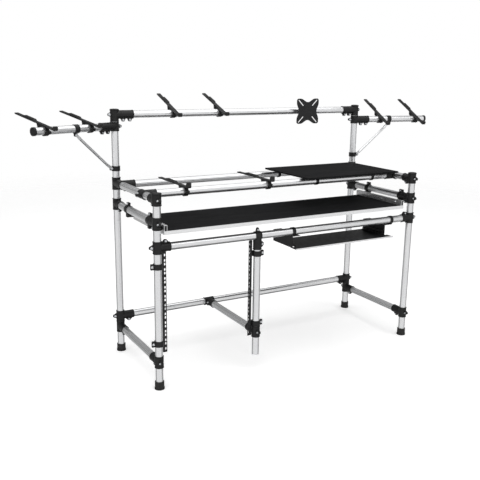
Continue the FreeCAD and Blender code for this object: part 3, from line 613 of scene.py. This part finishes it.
def bolt_through(mesh, matrix, x, z, half, size=1.0):
    """Bolt along local Y through an ear, head on the -Y side and nut on the other."""
    head = matrix @ Matrix.Translation((x, -half, z)) @ Matrix.Rotation(math.pi / 2, 4, "X")
    tail = matrix @ Matrix.Translation((x, half, z)) @ Matrix.Rotation(-math.pi / 2, 4, "X")
    bolt_head(mesh, head, size)
    nut(mesh, tail, size)


SMALL_LOBE_BOLT = 0.75
EAR_BOLT = 0.85
for group in sorted({one.group for one in fittings}):
    ribs = bmesh.new()
    bolts = bmesh.new()
    for one in fittings:
        if one.group != group:
            continue
        dress_fitting(ribs, one)
        matrix = placing(one.origin, one.along_x, one.along_z)
        size = 1.0 if min(one.below, one.above) > HALF_CLAMP else SMALL_LOBE_BOLT
        lobe = matrix if one.side is None else placing(one.origin, FRONT, UP)
        bolt_through(bolts, lobe, -(SLEEVE_RADIUS + one.lobe), 0, EAR_THICKNESS / 2, size)
        ear_height = one.way * EAR_RISE - one.drop
        for place in one.ears():
            bolt_through(bolts, matrix, place, ear_height, EAR_THICKNESS / 2, EAR_BOLT)
        body = one.body
    piece("ribs_" + group, ribs, fitting_plastic, body)
    piece("bolts_" + group, bolts, bright_steel, body)

# Bolts of the rack collars, the desk hangers and the desk's edge profiles

EAR_HALF = 5.5
EAR_MIDDLE = SLEEVE_RADIUS + 7.5
COLLAR_BOLT = 0.9
COLLAR_RISE = 54.0
COLLAR_DROP = 21.6
COLLAR_GAP = 15.4
HANGER_SETBACK = 174.6
PROFILE_BOLTS = (20.0, 138.0, 256.0)
PROFILE_BOLT = 0.8
PROFILE_GAP = 0.5
PROFILE_RISE = 13.0


def bolts_piece(name, body, places):
    """Bolts through ears: each place is (origin, local X, local Z, x, z, half, size)."""
    mesh = bmesh.new()
    for origin, along_x, along_z, x, z, half, size in places:
        bolt_through(mesh, placing(origin, along_x, along_z), x, z, half, size)
    piece(name, mesh, bright_steel, body)


collar_low = local(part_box("rack_strip_left")[0]).z + COLLAR_RISE
collar_high = LOWER_RAIL - CLAMP_REACH - COLLAR_DROP
collar_middle = BASE_RAIL + HALF_SLEEVE + COLLAR_GAP
collar_bolts = []
for height in (collar_low, collar_high):
    place = at(0, 0, height)
    collar_bolts.append((place, RIGHT, UP, -EAR_MIDDLE, 0, EAR_HALF, COLLAR_BOLT))
for height in (collar_middle, collar_high):
    place = at(MIDDLE, 0, height)
    collar_bolts.append((place, RIGHT, UP, EAR_MIDDLE, 0, EAR_HALF, COLLAR_BOLT))
bolts_piece("bolts_rack_collars", "frame", collar_bolts)

hanger_bolts = []
for y in (SHORT_REACH + COLLAR_GAP, DEPTH - HANGER_SETBACK):
    for x, along in ((0, FRONT), (WIDTH, BACK)):
        place = at(x, y, DESK_SIDE)
        hanger_bolts.append((place, along, UP, 0, EAR_MIDDLE, EAR_HALF, COLLAR_BOLT))
bolts_piece("bolts_desk_hangers", "frame", hanger_bolts)

board_low, board_high = (local(corner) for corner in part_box("desk_board"))
profile_bolts = bmesh.new()
for y in PROFILE_BOLTS:
    for x, facing in ((board_low.x - PROFILE_GAP, RIGHT), (board_high.x + PROFILE_GAP, LEFT)):
        place = at(x, y, board_high.z + PROFILE_RISE)
        bolt_head(profile_bolts, placing(place, UP, facing), PROFILE_BOLT)
piece("bolts_desk_profiles", profile_bolts, bright_steel, "frame")

# Monitor plate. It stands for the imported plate, with broader arms and rounded ends.

PLATE_WAIST_X = 62.0
PLATE_WAIST_Z = 52.0
PLATE_ROUND = 12.0
PLATE_SHOULDER = 13.0
SIDE_STEPS = 10
TURN_STEPS = 8
SLOT_ENDS = (33.0, 63.0)
SLOT_HALF = 3.0


def quarter_outline(half_width, half_height):
    """Upper right quarter of the plate, from its right waist to just before its top waist."""
    points = []
    reach = half_height - PLATE_ROUND - PLATE_SHOULDER
    for k in range(SIDE_STEPS):
        swell = 0.5 - 0.5 * math.cos(math.pi * k / SIDE_STEPS)
        x = PLATE_WAIST_X + (half_width - PLATE_WAIST_X) * swell
        points.append((x, reach * k / SIDE_STEPS))
    points.append((half_width, reach))
    for k in range(TURN_STEPS + 1):
        angle = math.pi / 2 * k / TURN_STEPS
        x = half_width - PLATE_ROUND + PLATE_ROUND * math.cos(angle)
        points.append((x, half_height - PLATE_ROUND + PLATE_ROUND * math.sin(angle)))
    reach = half_width - PLATE_ROUND - PLATE_SHOULDER
    for k in range(SIDE_STEPS):
        swell = 0.5 + 0.5 * math.cos(math.pi * k / SIDE_STEPS)
        z = PLATE_WAIST_Z + (half_height - PLATE_WAIST_Z) * swell
        points.append((reach * (1 - k / SIDE_STEPS), z))
    return points


def slot_outline(sign_x, sign_z):
    """Round-ended slot along one diagonal of the plate."""
    inner, outer = SLOT_ENDS
    heading = math.atan2(sign_z, sign_x)
    points = []
    for middle, start in ((outer, -math.pi / 2), (inner, math.pi / 2)):
        for k in range(TURN_STEPS + 1):
            angle = heading + start + math.pi * k / TURN_STEPS
            x = sign_x * middle + SLOT_HALF * math.cos(angle)
            points.append((x, sign_z * middle + SLOT_HALF * math.sin(angle)))
    return points


def closed_edges(mesh, matrix, points):
    """Edges of one closed outline in the local XZ plane."""
    corners = [mesh.verts.new(matrix @ Vector((x, 0, z))) for x, z in points]
    return [mesh.edges.new((corners[k - 1], corners[k])) for k in range(len(corners))]


def slotted_plate(low, high):
    """Plate that fills the box between two corners, its front face towards the desk."""
    middle = (low + high) / 2
    matrix = placing(at(middle.x, low.y, middle.z), RIGHT, UP)
    quarter = quarter_outline((high.x - low.x) / 2, (high.z - low.z) / 2)
    upper = quarter + [(0.0, PLATE_WAIST_Z)] + [(-x, z) for x, z in reversed(quarter[1:])]
    lower = [(-x, -z) for x, z in upper]
    mesh = bmesh.new()
    edges = closed_edges(mesh, matrix, upper + lower)
    for sign_x in (-1, 1):
        for sign_z in (-1, 1):
            edges += closed_edges(mesh, matrix, slot_outline(sign_x, sign_z))
    bmesh.ops.triangle_fill(mesh, use_beauty=True, use_dissolve=False, edges=edges)
    skin = bmesh.ops.extrude_face_region(mesh, geom=list(mesh.faces))
    behind = [item for item in skin["geom"] if isinstance(item, bmesh.types.BMVert)]
    bmesh.ops.translate(mesh, verts=behind, vec=BACK * (high.y - low.y) * MM)
    return mesh


plate_mesh = slotted_plate(*(local(corner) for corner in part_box("monitor_plate")))
plate = piece("monitor_plate_slotted", plate_mesh, black_steel, "monitor_head")
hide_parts("monitor_plate")

# Bolts of the monitor clamp and of the wings' braces

MONITOR_BOLTS = (-9.0, 9.0)
MONITOR_BOLT = 0.8
BRACE_DROP = 216.4
BRACE_REACH = 242.0
BRACE_HALF = 6.0
BRACE_BOLT = 0.8
LUG_MIDDLE = SLEEVE_RADIUS + 8.0

monitor = at(local(centre("monitor_clamp")).x, DEPTH, TOP_RAIL)
monitor_bolts = [(monitor, RIGHT, BACK, x, EAR_MIDDLE, EAR_HALF, MONITOR_BOLT) for x in MONITOR_BOLTS]
bolts_piece("bolts_monitor_clamp", "monitor_head", monitor_bolts)

for side, name in SIDES:
    along = wing_direction(side) * side
    ends = ((LUG_MIDDLE, -BRACE_DROP), (BRACE_REACH, -LUG_MIDDLE))
    bolts = [(wing_foot(side), along, UP, side * x, z, BRACE_HALF, BRACE_BOLT) for x, z in ends]
    bolts_piece("bolts_brace_" + name, "wing_" + name, bolts)

# Support arms: screws of their clamps, ribs across their rubber pads, blocks on their lips

ARM_THICKNESS = 6.0
ARM_RING_WALL = 5.0
ARM_SINK = 2.0
ARM_TOP = BORE_RADIUS + ARM_RING_WALL - ARM_SINK + ARM_THICKNESS
ARM_HALF_WIDTH = 10.0
PAD_HEIGHT = 6.0
PAD_SHARES = (0.34, 0.72)
RIB_PITCH = 5.0
RIB_MARGIN = 2.5
RIB_INSET = 0.8
RIB_SECTION = ((-1.5, -0.4), (-1.2, 0.3), (-0.4, 0.6), (0.4, 0.6), (1.2, 0.3), (1.5, -0.4))
BLOCK_COVER = 0.8
BLOCK_LENGTH = 17.0
BLOCK_DEPTH = 6.6
BLOCK_SOFT = 3.0
BLOCK_CHEEK = 1.4
BLOCK_TAPER = 0.9
EAR_SCREWS = (-29.5, 29.5)
EAR_SCREW_DROP = 7.0
EAR_SCREW = 0.8
CHEEK_SCREW_PLACE = (38.0, 14.0)
CHEEK_SCREW = 0.75


def ridge(mesh, matrix, x, z):
    """Low rounded ridge across the arm."""
    rows = []
    for y in (-ARM_HALF_WIDTH + RIB_INSET, ARM_HALF_WIDTH - RIB_INSET):
        points = [Vector((x + along, y, z + rise)) for along, rise in RIB_SECTION]
        rows.append([mesh.verts.new(matrix @ point) for point in points])
    bridge(mesh, rows)
    close_ends(mesh, rows)


def end_block(mesh, matrix, front, lip):
    """Rounded rubber block over the lip at an arm's front end."""
    low, high = ARM_TOP - BLOCK_DEPTH, ARM_TOP + lip + BLOCK_COVER
    start, end = -front - BLOCK_COVER, -front + BLOCK_LENGTH
    section = [
        (start + BLOCK_SOFT, low),
        (end - BLOCK_SOFT, low),
        (end, low + BLOCK_SOFT),
        (end, high - 2 * BLOCK_SOFT),
        (end - 2 * BLOCK_SOFT, high),
        (start + BLOCK_SOFT, high),
        (start, high - BLOCK_SOFT),
        (start, low + BLOCK_SOFT),
    ]
    middle = Vector(((start + end) / 2, 0, (low + high) / 2))
    half = ARM_HALF_WIDTH + BLOCK_COVER
    cheek = half - BLOCK_CHEEK
    rows = []
    for y, scale in ((-half, BLOCK_TAPER), (-cheek, 1.0), (cheek, 1.0), (half, BLOCK_TAPER)):
        row = []
        for x, z in section:
            point = middle + (Vector((x, 0, z)) - middle) * scale
            row.append(mesh.verts.new(matrix @ Vector((point.x, y, point.z))))
        rows.append(row)
    bridge(mesh, rows)
    close_ends(mesh, rows)


def dress_arm(name, origin, back, tilt, front, length, lip):
    """Ridges on the pad and a block on the lip of one support arm, and its clamp's screws."""
    angle = math.radians(tilt)
    along = back * math.cos(angle) + UP * math.sin(angle)
    upward = UP * math.cos(angle) - back * math.sin(angle)
    matrix = placing(origin, along, upward)
    body = "support_" + name
    ribs = bmesh.new()
    start = length * PAD_SHARES[0] + PAD_HEIGHT + RIB_MARGIN
    end = length * PAD_SHARES[1] - PAD_HEIGHT - RIB_MARGIN
    count = int((end - start) / RIB_PITCH)
    for k in range(count + 1):
        ridge(ribs, matrix, start + (end - start) * k / count, ARM_TOP + PAD_HEIGHT)
    end_block(ribs, matrix, front, lip)
    piece("pad_ribs_" + name, ribs, foot_rubber, body)
    screws = bmesh.new()
    for x in EAR_SCREWS:
        under = Matrix.Translation((x, 0, -EAR_SCREW_DROP)) @ Matrix.Rotation(math.pi, 4, "X")
        bolt_head(screws, matrix @ under, EAR_SCREW)
    x, z = CHEEK_SCREW_PLACE
    for sign in (-1, 1):
        turn = Matrix.Rotation(-sign * math.pi / 2, 4, "X")
        cheek = Matrix.Translation((x, sign * ARM_HALF_WIDTH, z)) @ turn
        bolt_head(screws, matrix @ cheek, CHEEK_SCREW)
    piece("screws_" + name, screws, black_steel, body)


# Each arm: tilt in degrees, lengths before and behind its tube, height of its lip
TOP_ARM = (20.0, 100.0, 210.0, 12.0)
TIER_ARM = (0.0, 52.0, 314.0, 20.0)
WING_ARMS = {"left": (11.0, 86.0, 245.0, 12.0), "right": (24.7, 117.0, 216.0, 12.0)}
WING_PLACES = {"left": (158.0, 416.0), "right": (176.0, 430.0)}
for number in (1, 2):
    name = "top_%d" % number
    x = local(centre("arm_" + name)).x
    dress_arm(name, at(x, DEPTH, TOP_RAIL), BACK, *TOP_ARM)
    name = "tier_%d" % number
    x = local(centre("arm_" + name)).x
    dress_arm(name, at(x, TIER_RAIL_Y, TIER), BACK, *TIER_ARM)
for side, wing_name in SIDES:
    direction = wing_direction(side)
    for number, reach in enumerate(WING_PLACES[wing_name], 1):
        origin = wing_foot(side) + direction * reach * MM
        name = "wing_%s_%d" % (wing_name, number)
        dress_arm(name, origin, UP.cross(direction) * side, *WING_ARMS[wing_name])

# Floor, light and camera. Lengths here are metres.

FLOOR_REACH = 30.0
FLOOR_GLOW = 0.42
FADE_START = 2.5
FADE_END = 7.0
WHITE = (1.0, 1.0, 1.0, 1.0)
FRONT_SIDE = (-0.492, -0.870, 0.0)
ROOM_FLOOR = 0.10
ROOM_SHADE = 0.34
ROOM_WALLS = 0.72
FRONT_EDGE = (0.0, 0.25)
BEHIND_EDGE = (-0.60, -0.72)
HORIZON = (0.10, -0.05)
WALL_FOOT = (-0.82, -0.66)
FLOOR_EDGE = (-0.86, -0.60)
CEILING_PLACE = (0.0, -0.3, 3.6)
CEILING_TARGET = (0.0, -0.3, 0.0)
CEILING_SIZE = (5.0, 5.0)
CEILING_RADIANCE = 1.2
LENS_MM = 51.626
SENSOR_MM = 36.0
FAR_CLIP = 200.0
YAW, PITCH, ROLL = (math.radians(angle) for angle in (29.483, 13.878, 0.742))
EYE = at(-1192.289, -2889.769, 1521.440)


def add_floor():
    """White paper floor, which fades into the white backdrop far from the stand."""
    data = bpy.data.meshes.new("floor")
    signs = ((-1, -1), (1, -1), (1, 1), (-1, 1))
    corners = [(x * FLOOR_REACH, y * FLOOR_REACH, 0) for x, y in signs]
    data.from_pydata(corners, [], [(0, 1, 2, 3)])
    floor = bpy.data.objects.new("floor", data)
    bpy.context.scene.collection.objects.link(floor)
    material, tree, shader = start_material("floor_paper", metallic=0.0, roughness=0.7, specular=0.1)
    even = coordinates(tree, EVEN)
    soft = noise(tree, even, scale=3.0, detail=2.0)
    paper = ramp(tree, soft, [(0.3, grey(0.90)), (0.7, grey(0.92))])
    tree.links.new(paper, shader.inputs["Base Color"])
    shader.inputs["Emission Color"].default_value = WHITE
    shader.inputs["Emission Strength"].default_value = FLOOR_GLOW
    distance = tree.nodes.new("ShaderNodeVectorMath")
    distance.operation = "LENGTH"
    tree.links.new(even, distance.inputs[0])
    fade = mapped(tree, distance.outputs["Value"], FADE_START, FADE_END, 1.0, 0.0)
    tree.links.new(fade, shader.inputs["Alpha"])
    data.materials.append(material)
    floor.visible_glossy = False


def add_panel(name, place, target, size, radiance):
    """Soft box whose face has the given radiance."""
    light = bpy.data.lights.new(name, "AREA")
    light.shape = "RECTANGLE"
    light.size, light.size_y = size
    light.energy = radiance * math.pi * size[0] * size[1]
    lamp = bpy.data.objects.new(name, light)
    lamp.location = place
    heading = Vector(target) - Vector(place)
    lamp.rotation_euler = heading.to_track_quat("-Z", "Y").to_euler()
    lamp.visible_camera = False
    bpy.context.scene.collection.objects.link(lamp)


def add_world():
    """White backdrop for the camera, and a dimmer room from floor to ceiling for the light."""
    world = bpy.data.worlds.new("studio")
    world.use_nodes = True
    tree = world.node_tree
    white = tree.nodes["Background"]
    white.inputs["Color"].default_value = WHITE
    white.inputs["Strength"].default_value = 1.0
    source = tree.nodes.new("ShaderNodeTexCoord").outputs["Generated"]
    parts = tree.nodes.new("ShaderNodeSeparateXYZ")
    tree.links.new(source, parts.inputs["Vector"])
    facing = tree.nodes.new("ShaderNodeVectorMath")
    facing.operation = "DOT_PRODUCT"
    facing.inputs[1].default_value = FRONT_SIDE
    tree.links.new(source, facing.inputs[0])

    def between(value, edge):
        """Smooth step from 0 at the edge's first value to 1 at its second."""
        node = tree.nodes.new("ShaderNodeMapRange")
        node.interpolation_type = "SMOOTHSTEP"
        node.inputs["From Min"].default_value, node.inputs["From Max"].default_value = edge
        tree.links.new(value, node.inputs["Value"])
        return node.outputs["Result"]

    def combined(operation, *values):
        """Sum or product of sockets and plain numbers."""
        node = tree.nodes.new("ShaderNodeMath")
        node.operation = operation
        for socket, value in zip(node.inputs, values):
            if isinstance(value, float):
                socket.default_value = value
            else:
                tree.links.new(value, socket)
        return node.outputs["Value"]

    front = between(facing.outputs["Value"], FRONT_EDGE)
    behind = between(facing.outputs["Value"], BEHIND_EDGE)
    low = between(parts.outputs["Z"], HORIZON)
    walls = combined("MAXIMUM", front, combined("MULTIPLY", behind, low))
    walls = combined("MULTIPLY", walls, between(parts.outputs["Z"], WALL_FOOT))
    raised = between(parts.outputs["Z"], FLOOR_EDGE)
    shade = combined("MULTIPLY_ADD", raised, ROOM_SHADE - ROOM_FLOOR, ROOM_FLOOR)
    strength = combined("ADD", shade, combined("MULTIPLY", walls, ROOM_WALLS))
    room = tree.nodes.new("ShaderNodeBackground")
    tree.links.new(strength, room.inputs["Strength"])
    path = tree.nodes.new("ShaderNodeLightPath")
    both = tree.nodes.new("ShaderNodeMixShader")
    tree.links.new(path.outputs["Is Camera Ray"], both.inputs["Fac"])
    tree.links.new(room.outputs["Background"], both.inputs[1])
    tree.links.new(white.outputs["Background"], both.inputs[2])
    tree.links.new(both.outputs["Shader"], tree.nodes["World Output"].inputs["Surface"])
    bpy.context.scene.world = world


def add_camera():
    """Camera that sees the stand as the photograph does."""
    ahead = Vector((math.sin(YAW), math.cos(YAW), 0))
    forward = ahead * math.cos(PITCH) - UP * math.sin(PITCH)
    level_right = Vector((math.cos(YAW), -math.sin(YAW), 0))
    level_up = level_right.cross(forward)
    right = level_right * math.cos(ROLL) + level_up * math.sin(ROLL)
    up = level_up * math.cos(ROLL) - level_right * math.sin(ROLL)
    data = bpy.data.cameras.new("camera")
    data.lens = LENS_MM
    data.sensor_width = SENSOR_MM
    data.clip_end = FAR_CLIP
    camera = bpy.data.objects.new("camera", data)
    turn = Matrix((right, up, -forward)).transposed().to_4x4()
    camera.matrix_world = Matrix.Translation(EYE) @ turn
    bpy.context.scene.collection.objects.link(camera)
    bpy.context.scene.camera = camera


add_floor()
add_world()
add_panel("ceiling", CEILING_PLACE, CEILING_TARGET, CEILING_SIZE, CEILING_RADIANCE)
add_camera()
bpy.context.scene.view_settings.view_transform = "Standard"
